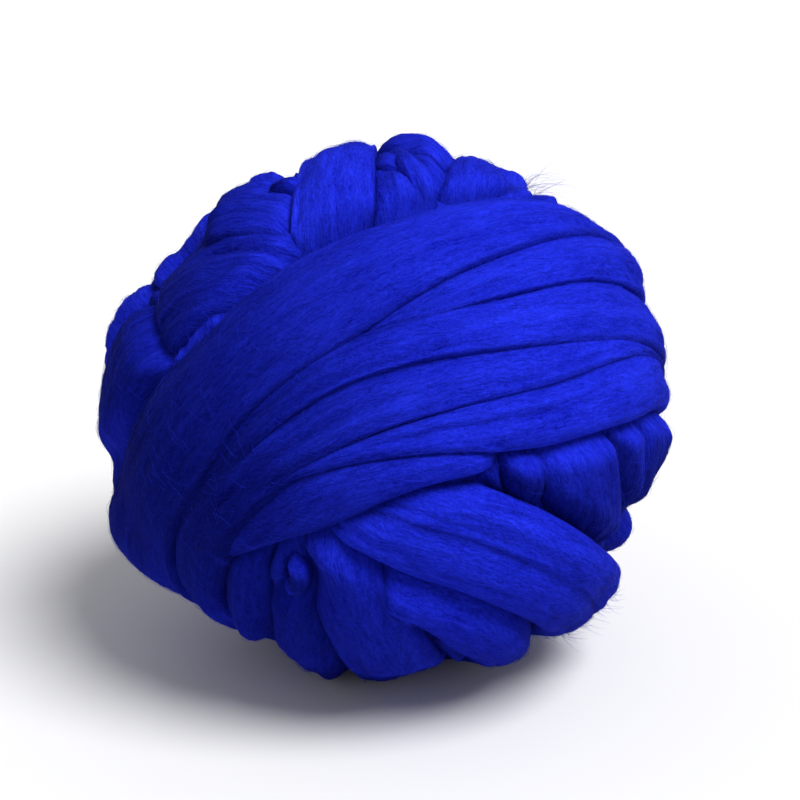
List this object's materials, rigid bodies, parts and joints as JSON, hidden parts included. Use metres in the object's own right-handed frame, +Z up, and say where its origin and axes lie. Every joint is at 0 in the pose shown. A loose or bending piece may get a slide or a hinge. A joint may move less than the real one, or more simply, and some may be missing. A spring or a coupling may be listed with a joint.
{
  "type": "ball of wool yarn",
  "caption": "Ball of thick, soft, unspun wool yarn, wound by hand in broad flattened turns that cross and overlap, resting on a small flat spot.",
  "frame": {"origin": "on the resting plane, under the middle of the ball", "axes": "+Z up from the surface that the ball rests on; the picture's camera looks along +Y and about 20 degrees down, with +X to its right"},
  "size_m": [0.1899, 0.1855, 0.1763],
  "materials": {
    "wool": "ultramarine blue combed wool fibres, matt with a soft sheen, slightly fuzzy"
  },
  "bodies": {
    "root": {"yarn_ball": "wool"}
  },
  "joints": []
}
